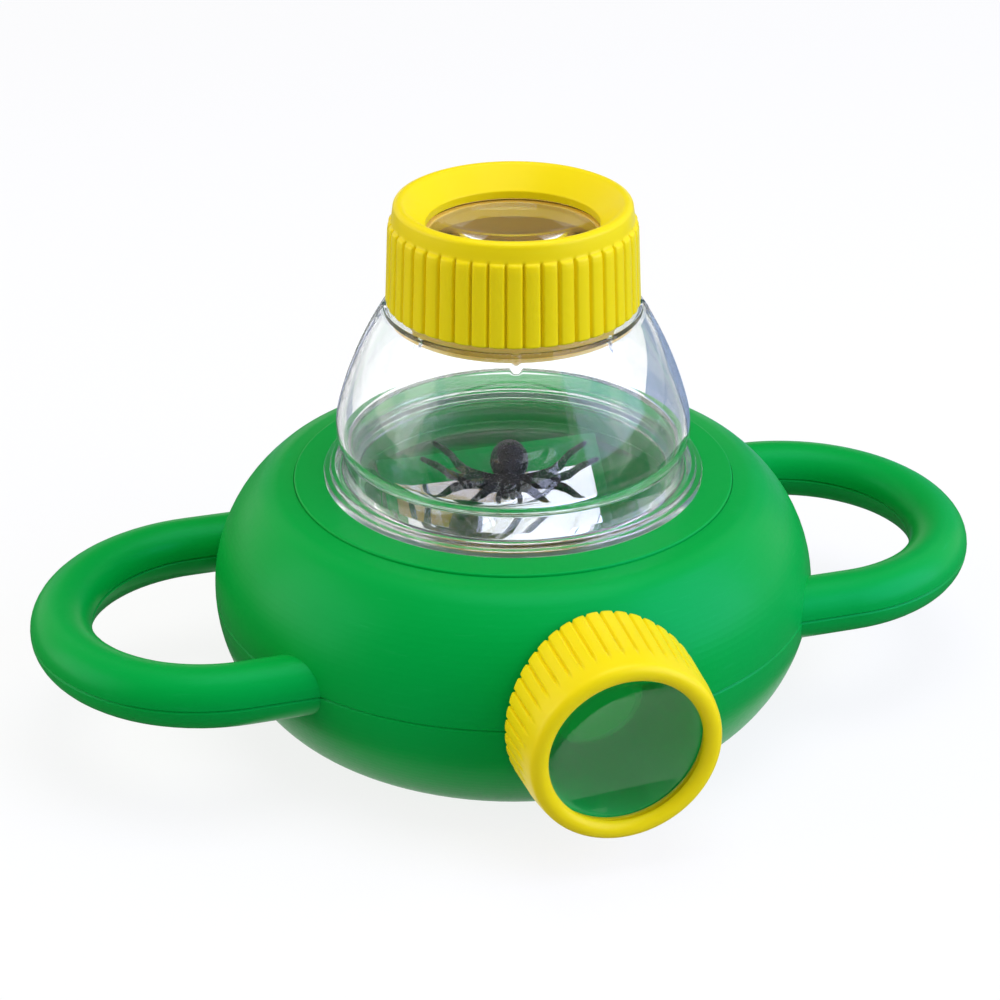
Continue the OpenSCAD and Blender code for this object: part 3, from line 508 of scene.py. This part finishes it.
def makeBell():
    j = jar
    start = math.radians(j["flankAngle"])
    inwards = j["flankRadius"] - j["bellRadius"]   # the flank's arc runs on from the bell's
    bx, bz = j["bellCentre"]
    flankCentre = (bx - inwards * math.cos(start), bz - inwards * math.sin(start))

    def angleAt(height, radius):
        return math.degrees(math.asin((height - flankCentre[1]) / radius))

    outside, inside = j["flankRadius"], j["flankRadius"] - j["wall"]
    outer = arcOf(j["toeCentre"], j["toeRadius"], -j["toeAngle"], 0, j["toeSteps"])
    outer += arcOf(j["bellCentre"], j["bellRadius"], 0, j["flankAngle"], j["bellSteps"])[1:]
    top = angleAt(j["shoulderZ"] - j["stopsFrom"], outside)
    outer += arcOf(flankCentre, outside, j["flankAngle"], top, j["flankSteps"])[1:]
    for drop, grip in j["stopsFade"]:
        a = angleAt(j["shoulderZ"] - drop, outside)
        outer += arcOf(flankCentre, outside, a, a, 1, grip)[:1]
    begin, end = j["stopsAcross"]
    outer += [(j["shoulderR"], j["shoulderZ"], 0.6, 1), (j["shoulderR"] - begin, j["shoulderZ"], 0, 1),
              (j["shoulderR"] - end, j["shoulderZ"], 0, 0), (j["neckR"], j["shoulderZ"], 0.3, 0),
              (j["neckR"], j["neckTop"], 0.5, 0)]
    inner = [(j["neckInR"], j["neckTop"], 0.4, 0), (j["neckInR"], j["underZ"], 0.3, 0)]
    inner += arcOf(flankCentre, inside, angleAt(j["underZ"], inside), j["flankAngle"], j["flankInnerSteps"])
    inner += arcOf(j["bellCentre"], j["bellRadius"] - j["wall"], j["flankAngle"], 0, j["bellSteps"])[1:]
    inner += arcOf(j["toeCentre"], j["toeRadius"] - j["wall"], -j["toeInnerAngle"], -j["toeAngle"],
                   j["toeInnerSteps"])
    inner += [(j["footR"], j["footZ"], 0.15, 0)]
    mesh = turnedMesh("bell", softened(outer + inner, True), j["columns"])
    bell = pieceFrom("clearBell", ribbedMesh(mesh, j["stops"], "clear_plastic"), "clear_plastic")
    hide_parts("jar_dome")
    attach(bell, "jar")


dish = {   # the chamber's floor, with the flange that rests in the seat
    "columns": 360, "cornerSteps": 5,
    "outline": [   # radius, height and rounding, from the middle of the underside to the floor's middle
        (0, 57.04, 0), (38.2, 57.04, 0.3), (38.2, 58.54, 0.15), (45.2, 58.54, 0.3), (45.2, 60.14, 0.45),
        (43.7, 60.14, 0.25), (43.7, 61.34, 0.45), (42.6, 61.34, 0.45), (41.15, 60.14, 0.3),
        (40.6, 60.69, 0.3), (40.6, 66.64, 0.2), (38.35, 66.64, 0.2), (38.1, 61.6, 1.0),
        (37.68, 58.64, 0.8), (0, 58.64, 0),
    ],
}


def makeDish():
    outline = softened(dish["outline"], False, steps=dish["cornerSteps"])
    mesh = turnedMesh("dish", outline, dish["columns"], closed=False)
    obj = pieceFrom("clearDish", mesh, "clear_plastic")
    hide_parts("chamber_floor")
    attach(obj, "jar")


makeBell()
makeDish()
print("clear jar turned")


cap = {   # ribbed ring over the neck
    "columns": 45 * 24,
    "footZ": 102.44, "footR": 29.6, "ribTopZ": 122.04, "ribTopR": 28.7,
    "boreR": 27.25, "holeR": 20.0, "holeZ": 121.34, "seatZ": 119.54, "pocketR": 21.5, "shelfZ": 116.74,
    "footFade": ((0.7, 0, 0.2), (0.25, 0.1, 1), (0, 0.5, 1)),   # in from the foot's edge, up from it, grip
    "ribRows": (4, 8, 12, 16, 17.8),   # up from the foot
    "ledge": [   # radius, height, grip
        (28.68, 120.7, 1), (28.64, 121.25, 1), (28.5, 121.6, 0.9), (28.22, 121.85, 0.6),
        (27.95, 121.98, 0.3), (27.8, 122.15, 0), (27.74, 122.8, 0), (27.69, 123.6, 0),
        (27.61, 124.3, 0), (27.5, 124.9, 0),
    ],
    "crest": (25.95, 125.2), "crestRadius": 1.4, "crestFlare": 0.12,
    "outerArc": (14, 40, 4), "topArc": (55, 132, 12),   # from and to, in degrees, and steps
    "ribs": {"Rib Count": 45, "Phase": math.radians(2), "Width": 0.55 * mm, "Edge": 0.36 * mm,
             "Depth": -1.0 * mm, "Belly": -0.3 * mm},
}


def makeCap():
    c = cap
    lean = (c["footR"] - c["ribTopR"]) / (c["ribTopZ"] - c["footZ"])
    corners = [(c["boreR"], c["footZ"], 0.3, 0)]
    corners += [(c["footR"] - away, c["footZ"] + up, 0, grip) for away, up, grip in c["footFade"]]
    corners += [(c["footR"] - lean * up, c["footZ"] + up, 0, 1) for up in c["ribRows"]]
    corners += [(r, z, 0, grip) for r, z, grip in c["ledge"]]
    corners += arcOf(c["crest"], c["crestRadius"] + c["crestFlare"], *c["outerArc"])
    corners += arcOf(c["crest"], c["crestRadius"], *c["topArc"])
    corners += [(c["holeR"], c["holeZ"], 0.5, 0), (c["holeR"], c["seatZ"], 0.15, 0),
                (c["pocketR"], c["seatZ"], 0, 0), (c["pocketR"], c["shelfZ"], 0.1, 0),
                (c["boreR"], c["shelfZ"], 0, 0)]
    mesh = turnedMesh("cap", softened(corners, True), c["columns"])
    obj = pieceFrom("magnifierCap", ribbedMesh(mesh, c["ribs"], "yellow_plastic"), "yellow_plastic")
    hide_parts("cap_ring")
    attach(obj, "cap")


lensTube = {   # holds the top lens up and reaches down into the neck
    "columns": 360,
    "outline": [   # radius, height and rounding
        (23.9, 97.54, 0.3), (25.4, 97.54, 0.5), (25.4, 116.74, 0.2),
        (19.4, 116.74, 0.2), (19.4, 115.24, 0.4), (23.9, 115.24, 0.5),
    ],
}


def makeLensTube():
    mesh = turnedMesh("tube", softened(lensTube["outline"], True), lensTube["columns"])
    obj = pieceFrom("lensTube", mesh, "shadedAmber")
    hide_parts("top_lens_retainer")
    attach(obj, "cap")


# edge's lower side and thickness, rim round the curved face, and how far each face bulges
topLens = {"columns": 240, "radius": 21.2, "rim": 1.41, "low": 117.04, "edge": 2.2, "rise": 1.6, "drop": 2.6}
sideLens = {"columns": 240, "radius": 19.4, "rim": 1.89, "low": 80.9, "edge": 3.9, "rise": 1.3, "drop": 1.5}
portZ = 30.8   # height of the side window's axis, along which the window's pieces are drawn
toPort = Matrix.Translation((0, 0, portZ * mm)) @ Matrix.Rotation(math.pi / 2, 4, "X")


def lensOutline(lens, rounding=0.25, steps=20):
    face = lens["radius"] - lens["rim"]
    points = []
    for side, level, height in ((-1, lens["low"], lens["drop"]), (1, lens["low"] + lens["edge"], lens["rise"])):
        big = (face * face + height * height) / height / 2   # radius of the lens's curve
        curve = []
        for i in range(steps + 1):
            r = face * (i / steps)
            curve.append((r, level + side * (height - big + math.sqrt(big * big - r ** 2)), 0))
        corner = [(lens["radius"], level, rounding)]
        points += curve + corner if side < 0 else corner + curve[::-1]
    return points


def makeLens(name, lens, node, body, matrix=None):
    outline = softened(lensOutline(lens), False, edge=0.1, longest=3)
    mesh = turnedMesh(name, outline, lens["columns"], closed=False)
    if matrix:
        mesh.transform(matrix)
    obj = pieceFrom(name, mesh, "lens")
    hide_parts(node)
    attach(obj, body)


makeCap()
makeLensTube()
makeLens("capLens", topLens, "top_lens", "cap_carrier")
makeLens("windowLens", sideLens, "side_lens", "base", toPort)
print("cap and lenses turned")


window = {   # ribbed ring of the side window; distances out are from the jar's axis
    "columns": 44 * 24,
    "boreR": 20.45, "frontR": 22.7, "ribFront": 78.2, "lean": math.tan(math.radians(2.8)),
    "fade": [   # radius, distance out, grip
        (22.69, 78.9, 0.95), (22.65, 79.8, 0.7), (22.58, 80.7, 0.38), (22.48, 81.6, 0.14),
        (22.35, 82.6, 0.02), (22.18, 83.7, 0), (22.05, 84.4, 0),
    ],
    "bezel": (19.8, 84.5), "bezelRadius": 2.2, "bezelArc": (12, 166, 18),   # degrees and steps
    "windowR": 17.65, "windowSeat": 84.9,
    "pocketR": 19.7, "stopOut": 80.6,
    "stand": 1.5,   # gap between the ring's back edge and the body
    "boreNear": 0.5,   # points this near to the bore's radius belong to it
    "backGuess": 0.4,   # how much wider than the front the ribs' back edge is taken to be at first
    "upperCentre": (39.5, 30), "upperRadius": 33, "lowerCentre": (36.5, 30), "lowerRadius": 36,
    "ribRows": (1.0, 0.985, 0.75, 0.5, 0.25, 0.02), "boreRows": (0.02, 0.5, 0.985, 1.0),   # shares
    "ribs": {"Rib Count": 44, "Phase": math.radians(89.2), "Width": 0.5 * mm, "Edge": 0.26 * mm,
             "Depth": -0.6 * mm, "Belly": -0.12 * mm},
}


def skinAt(x, z, stand):   # distance from the jar's axis to the body's skin and the gap before it
    name = "upper" if z > window["upperCentre"][1] else "lower"
    centre, radius = window[name + "Centre"], window[name + "Radius"] + stand
    wide = centre[0] + math.sqrt(max(radius ** 2 - (z - centre[1]) ** 2, 0))
    return math.sqrt(max(wide ** 2 - x ** 2, 0))


def makeSideRing():
    w = window

    def backOf(r, a):
        return skinAt(r * math.cos(a), portZ + r * math.sin(a), w["stand"])

    def place(point, a):   # rows below nought are shares of the way back from the front
        if point.y > 0:
            return point.x, point.y
        share = -point.y
        if point.x < w["boreR"] + w["boreNear"]:
            return point.x, w["stopOut"] + (backOf(point.x, a) - w["stopOut"]) * share
        back = backOf(w["frontR"] + w["backGuess"], a)   # then again at the radius that the slope gives
        back = backOf(w["frontR"] + (w["ribFront"] - back) * w["lean"], a)
        z = w["ribFront"] + (back - w["ribFront"]) * share
        return point.x + (w["ribFront"] - z) * w["lean"], z

    rows = [(Vector((w["frontR"], -s)), 1.0) for s in w["ribRows"]]
    front = [(r, z, 0, grip) for r, z, grip in w["fade"]]
    front += arcOf(w["bezel"], w["bezelRadius"], *w["bezelArc"])
    front += [(w["windowR"], w["windowSeat"], 0.05, 0), (w["pocketR"], w["windowSeat"], 0, 0),
              (w["pocketR"], w["stopOut"], 0.1, 0), (w["boreR"], w["stopOut"], 0, 0)]
    rows += softened(front, False)
    rows += [(Vector((w["boreR"], -s)), 0.0) for s in w["boreRows"]]
    mesh = turnedMesh("ring", rows, w["columns"], place=place)
    mesh = ribbedMesh(mesh, w["ribs"], "yellow_plastic")
    mesh.transform(toPort)
    obj = pieceFrom("windowRing", mesh, "yellow_plastic")
    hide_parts("side_ring")
    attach(obj, "base")


keeper = {   # ring behind the side lens, with a bore as wide as the port's
    "columns": 360,
    "outline": [   # radius, 0 for the back or 1 for the front, rounding
        (18.75, 0, 0.15), (20.35, 0, 0.15), (20.35, 1, 0.1), (18.75, 1, 0.1),
    ],
}


def makeKeeper():
    low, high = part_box("side_lens_retainer")
    ends = (-low[1] / mm, -high[1] / mm)
    outline = [(r, ends[end], rounding) for r, end, rounding in keeper["outline"]]
    mesh = turnedMesh("keeper", softened(outline, True), keeper["columns"])
    mesh.transform(toPort)
    obj = pieceFrom("lensKeeper", mesh, "yellow_plastic")
    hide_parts("side_lens_retainer")
    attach(obj, "base")


makeSideRing()
makeKeeper()
print("side ring shaped")


seat = {   # ring that the jar stands on, with its stepped bore
    "columns": 360,
    "outline": [   # radius, height and rounding
        (38.5, 58.24, 0.25), (52.4, 58.24, 0.5), (52.4, 56.44, 0.15), (41.0, 56.44, 0),
        (41.0, 49.04, 0.2), (38.95, 49.04, 0.2), (38.95, 51.51, 0.15), (39.4, 51.51, 0.1),
        (39.4, 55.21, 0.1), (38.5, 55.21, 0.15),
    ],
}


def makeSeat():
    mesh = turnedMesh("seat", softened(seat["outline"], True), seat["columns"])
    obj = pieceFrom("jarSeatRing", mesh, "green_plastic")
    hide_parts("jar_seat")
    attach(obj, "base")


makeSeat()
print("seat ring turned")


spider = {   # drawn in millimetres with its head towards -Y, then turned and placed
    "place": (-0.9, -15.0), "turn": -16.8, "floor": 58.94,
    "eggs": (   # middle, half its length, width and height, and how much narrower its rear end is
        {"middle": (0, 7.6, 5.0), "long": 6.8, "wide": 4.5, "tall": 4.6, "pinch": -0.1},     # abdomen
        {"middle": (0, -1.4, 3.6), "long": 3.6, "wide": 2.9, "tall": 2.5, "pinch": 0.12},    # front body
        {"middle": (0, 1.9, 3.9), "long": 1.8, "wide": 1.5, "tall": 1.5, "pinch": 0.12},     # waist
        {"middle": (0, 14.2, 4.6), "long": 0.9, "wide": 0.8, "tall": 0.8, "pinch": 0.12},    # spinnerets
    ),
    "jaw": {"middle": (0.9, -4.9, 2.6), "long": 1.5, "wide": 0.85, "tall": 1.1, "pinch": 0.12},
    "feeler": ((1.2, -3.6, 2.8), (2.3, -5.6, 3.0), (2.5, -7.4, 1.6), (2.2, -8.6, 0.9)),
    "feelerRoot": 0.75, "feelerTip": 0.45,
    "reach": 21.4, "legRoot": 1.35, "legTip": 0.6,
    "legs": (   # shares of the reach, rear leg first
        ((0.093, 0.028, 0.159), (0.402, 0.112, 0.215), (0.547, 0.388, 0.168),
         (0.673, 0.841, 0.093), (0.874, 1.271, 0.028)),
        ((0.093, 0, 0.159), (0.43, -0.023, 0.215), (0.631, 0.154, 0.168),
         (0.79, 0.523, 0.093), (1, 0.864, 0.028)),
        ((0.093, -0.056, 0.159), (0.393, -0.159, 0.215), (0.584, -0.196, 0.196),
         (0.706, -0.206, 0.112), (0.827, -0.257, 0.028)),
        ((0.065, -0.093, 0.159), (0.196, -0.243, 0.21), (0.28, -0.327, 0.187),
         (0.369, -0.336, 0.107), (0.435, -0.355, 0.028)),
    ),
    "knees": ((0.16, 0.5, 0.05), (0.1, 0.78, 0.04)),   # swelling, where along the leg, how wide
    "tipFrom": 0.96, "tipWide": 0.045, "tipLeast": 0.05,   # where a leg's end rounds off
    "voxel": 0.22, "ease": 0.5, "easeRounds": 3, "grain": 0.26, "grainSize": 0.6,
}


def eggInto(build, part, side=1, rounds=28, rings=18):
    mx, my, mz = part["middle"]
    mx *= side
    size = Matrix.Diagonal((part["wide"], part["long"], part["tall"], 1))
    matrix = Matrix.Translation((mx, my, mz)) @ size
    made = bmesh.ops.create_uvsphere(build, u_segments=rounds, v_segments=rings, radius=1, matrix=matrix)
    for v in made["verts"]:
        along = (v.co.y - my) / part["long"]
        v.co.x = mx + (v.co.x - mx) * (1 - part["pinch"] * along)
        v.co.z = mz + (v.co.z - mz) * (1 - part["pinch"] * along)


def smoothLine(points, steps=10):   # runs through all the points
    out = []
    for i in range(len(points) - 1):
        a, b, c, d = points[max(i - 1, 0)], points[i], points[i + 1], points[min(i + 2, len(points) - 1)]
        for k in range(steps):
            t = k / steps
            bent = (2 * a - 5 * b + 4 * c - d) * t * t + (3 * b - a - 3 * c + d) * t ** 3
            out.append((2 * b + (c - a) * t + bent) / 2)
    return out + [points[-1]]


def legInto(build, line, root, tip, sides=12):
    s = spider
    rings = []
    last = len(line) - 1
    for i, p in enumerate(line):
        along = (line[min(i + 1, last)] - line[max(i - 1, 0)]).normalized()
        side = along.cross(Vector((0, 0, 1))).normalized()
        up = side.cross(along)
        share = i / last
        knee = sum(swell * math.exp(-((share - at) / wide) ** 2) for swell, at, wide in s["knees"])
        r = root + (tip - root) * share + knee
        if share > s["tipFrom"]:
            r *= math.sqrt(max(1 - ((share - s["tipFrom"]) / s["tipWide"]) ** 2, s["tipLeast"]))
        ring = []
        for k in range(sides):
            a = 2 * math.pi * k / sides
            ring.append(build.verts.new(p + (side * math.cos(a) + up * math.sin(a)) * r))
        rings.append(ring)
    for low, high in zip(rings, rings[1:]):
        for k in range(sides):
            n = (k + 1) % sides
            build.faces.new((low[k], low[n], high[n], high[k]))
    build.faces.new(rings[0][::-1])
    build.faces.new(rings[-1])


def makeSpider():
    s = spider
    build = bmesh.new()
    for egg in s["eggs"]:
        eggInto(build, egg)
    for sx in (-1, 1):
        eggInto(build, s["jaw"], sx)
        feeler = [Vector((sx * x, y, z)) for x, y, z in s["feeler"]]
        legInto(build, smoothLine(feeler), s["feelerRoot"], s["feelerTip"])
        for shares in s["legs"]:
            points = [Vector((sx * x, y, z)) * s["reach"] for x, y, z in shares]
            legInto(build, smoothLine(points), s["legRoot"], s["legTip"])
    mesh = bpy.data.meshes.new("spider")
    bmesh.ops.recalc_face_normals(build, faces=build.faces)
    build.to_mesh(mesh)
    build.free()
    obj = objectFrom("toySpider", mesh)
    melt = obj.modifiers.new("melt", "REMESH")   # one moulded skin over body and legs
    melt.mode = "VOXEL"
    melt.voxel_size = s["voxel"]
    ease = obj.modifiers.new("ease", "SMOOTH")
    ease.factor, ease.iterations = s["ease"], s["easeRounds"]
    grain = bpy.data.textures.new("spiderGrain", "CLOUDS")
    grain.noise_scale, grain.noise_depth = s["grainSize"], 2
    rough = obj.modifiers.new("grain", "DISPLACE")
    rough.texture, rough.texture_coords = grain, "LOCAL"
    rough.strength, rough.mid_level = s["grain"], 0.5
    done = shapedMesh(obj)
    matrix = Matrix.Scale(mm, 4) @ Matrix.Rotation(math.radians(s["turn"]), 4, "Z")
    matrix = matrix @ Matrix.Translation((s["place"][0], s["place"][1], s["floor"]))
    done.transform(matrix)
    done.polygons.foreach_set("use_smooth", [True] * len(done.polygons))
    piece = pieceFrom("toySpider", done, "black_plastic")
    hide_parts("toy_spider")
    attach(piece, "spider")
    print("spider moulded", len(done.polygons))


makeSpider()


darkCard = (0.1, 0.11, 0.12)
studio = {
    "floorColour": (0.55, 0.55, 0.55), "floorSeen": (0.98, 0.98, 0.98),
    "floorGrain": 300, "floorGrainBy": 1.01, "floorRough": 0.9,
    "floorGlow": 0.84, "floorSize": 4.0, "floorBelow": 0.0002,
    "floorFade": (0.5, 1.5),   # no edge where the floor ends
    "throughGlass": 1.5, "worldSide": 0.33,
    "cardAbove": 0.0004, "cardSteps": 48, "cardGrain": 3, "cardGrainBy": 1.1,
    "aim": (0, 0, 0.05),
    "lamps": {   # degrees to the right of the camera, metres out and up, size, watts
        "key": {"aside": 72, "out": 1.1, "up": 0.62, "wide": 1.25, "tall": 1.1,
                "power": 11.4, "tint": (0.84, 0.93, 1.7)},
        "fill": {"aside": -84, "out": 1.2, "up": 0.5, "wide": 0.95, "tall": 0.9,
                 "power": 7, "tint": (1.0, 0.96, 0.85)},
        "top": {"aside": 90, "out": 0.12, "up": 1.2, "wide": 0.8, "tall": 0.8,
                "power": 6, "tint": (1.0, 1.0, 1.0)},
    },
    "flags": (   # blue-grey cards that give the clear edges their lines; the camera doesn't see them
        {"aside": 150, "out": 0.9, "wide": 0.46, "tall": 0.5, "colour": (0.16, 0.22, 0.42)},
        {"aside": -152, "out": 0.9, "wide": 0.26, "tall": 0.5, "colour": (0.42, 0.44, 0.58)},
    ),
    # name, degrees to the right of the camera, (metres out, up) of both edges, seen through glass, colour
    "screens": (
        ("Front", (-54, 38), (1.0, 0.0), (1.0, 1.0), True, darkCard),
        ("Back", (150, 210), (1.0, 0.25), (0.8, 1.25), True, darkCard),
        ("FrontFoot", (-90, 90), (0.2, 0.0), (1.0, 0.0), True, darkCard),
        ("NearFoot", (-90, 90), (0.078, 0.0), (0.2, 0.0), False, darkCard),
        ("BackFoot", (90, 270), (0.078, 0.0), (1.0, 0.0), False, darkCard),
        ("RightEdge", (140, 164), (0.13, 0.001), (0.5, 0.001), True, (0.28, 0.38, 0.62)),
        ("LeftEdge", (204, 208), (0.13, 0.001), (0.5, 0.001), True, (0.42, 0.46, 0.66)),
    ),
}


def seenFactor(tree):
    ray = tree.nodes.new("ShaderNodeLightPath")
    shown = maths(tree, "MAXIMUM", ray.outputs["Is Glossy Ray"], ray.outputs["Is Transmission Ray"])
    return maths(tree, "MAXIMUM", ray.outputs["Is Camera Ray"], shown)


def glassStrength(tree):   # white paper seen through glass stays white
    ray = tree.nodes.new("ShaderNodeLightPath")
    return spread(tree, ray.outputs["Is Transmission Ray"], 1, studio["throughGlass"], 0, 1)


def makeFloor():
    s = studio
    size, low = s["floorSize"], cadBox[0][2] - s["floorBelow"]
    corners = [(x * size, y * size, low) for x, y in ((-1, -1), (1, -1), (1, 1), (-1, 1))]
    mesh = bpy.data.meshes.new("floor")
    mesh.from_pydata(corners, [], [(0, 1, 2, 3)])
    floor = objectFrom("floor", mesh)
    mat, tree, shader = newMaterial("paperFloor")
    paler = tuple(v * s["floorGrainBy"] for v in s["floorColour"])
    tint = blendColours(tree, noiseOn(tree, s["floorGrain"]), s["floorColour"], paler)
    tree.links.new(blendColours(tree, seenFactor(tree), tint, s["floorSeen"]), shader.inputs["Base Color"])
    shader.inputs["Roughness"].default_value = s["floorRough"]
    shader.inputs["Specular IOR Level"].default_value = 0.0
    glow = tree.nodes.new("ShaderNodeEmission")
    tree.links.new(glassStrength(tree), glow.inputs["Strength"])
    mix = tree.nodes.new("ShaderNodeMixShader")
    away = tree.nodes.new("ShaderNodeVectorMath")
    away.operation = "LENGTH"
    tree.links.new(objectPlace(tree), away.inputs[0])
    paper = spread(tree, away.outputs["Value"], s["floorGlow"], 1, *s["floorFade"])
    tree.links.new(maths(tree, "MULTIPLY", seenFactor(tree), paper), mix.inputs[0])
    tree.links.new(shader.outputs[0], mix.inputs[1])
    tree.links.new(glow.outputs[0], mix.inputs[2])
    surfaceOutput(tree, mix.outputs[0])
    mesh.materials.append(mat)


def card(name, verts, faces, colour):   # seen in reflections and through glass, and by nothing else
    mesh = bpy.data.meshes.new(name)
    mesh.from_pydata([tuple(v) for v in verts], [], faces)
    obj = objectFrom(name, mesh)
    mat, tree, shader = newMaterial(name + "Paper")
    paler = tuple(v * studio["cardGrainBy"] for v in colour)
    glow = tree.nodes.new("ShaderNodeEmission")
    tint = blendColours(tree, noiseOn(tree, studio["cardGrain"]), colour, paler)
    tree.links.new(tint, glow.inputs["Color"])
    surfaceOutput(tree, glow.outputs[0])
    mesh.materials.append(mat)
    obj.visible_camera = obj.visible_shadow = obj.visible_diffuse = False
    return obj


def aside(degrees):   # level direction, so many degrees to the right of the camera
    a = math.radians(degrees - 90 - camera["heading"])
    return Vector((math.cos(a), math.sin(a), 0))


def makeFlag(index, flag):
    away = aside(flag["aside"])
    side = Vector((-away.y, away.x, 0)) * flag["wide"] / 2
    up = Vector((0, 0, flag["tall"]))
    corners = [away * flag["out"] + v for v in (side, -side, up - side, up + side)]
    card("edgeCard%d" % index, corners, [(0, 1, 2, 3)], flag["colour"])


def makeScreen(name, turn, lowEdge, highEdge, glass, colour):   # keeps the white room out of reflections
    first, last = turn
    count = studio["cardSteps"]
    low = cadBox[0][2] + studio["cardAbove"]
    verts = []
    for i in range(count + 1):
        away = aside(first + (last - first) * i / count)
        verts += [away * r + Vector((0, 0, low + z)) for r, z in (lowEdge, highEdge)]
    faces = [(2 * i, 2 * i + 2, 2 * i + 3, 2 * i + 1) for i in range(count)]
    card("screen" + name, verts, faces, colour).visible_transmission = glass


def makeWorld():
    world = bpy.data.worlds.new("studioWorld")
    bpy.context.scene.world = world
    world.use_nodes = True
    tree = world.node_tree
    back = tree.nodes["Background"]
    back.inputs["Color"].default_value = (1, 1, 1, 1)
    strength = spread(tree, seenFactor(tree), studio["worldSide"], 1, 0, 1)
    tree.links.new(maths(tree, "MULTIPLY", strength, glassStrength(tree)), back.inputs["Strength"])


def softLamp(name, lamp):
    data = bpy.data.lights.new(name, "AREA")
    data.shape = "RECTANGLE"
    data.size, data.size_y = lamp["wide"], lamp["tall"]
    data.energy = lamp["power"]
    data.color = lamp["tint"]
    obj = objectFrom(name, data)
    place = aside(lamp["aside"]) * lamp["out"] + Vector((0, 0, lamp["up"]))
    obj.location = place
    obj.rotation_euler = (Vector(studio["aim"]) - place).to_track_quat("-Z", "Y").to_euler()


makeFloor()
makeWorld()
for screen in studio["screens"]:
    makeScreen(*screen)
for index, flag in enumerate(studio["flags"]):
    makeFlag(index, flag)
for name, lamp in studio["lamps"].items():
    softLamp(name + "Lamp", lamp)
bpy.context.scene.view_settings.view_transform = "Standard"
print("studio set")
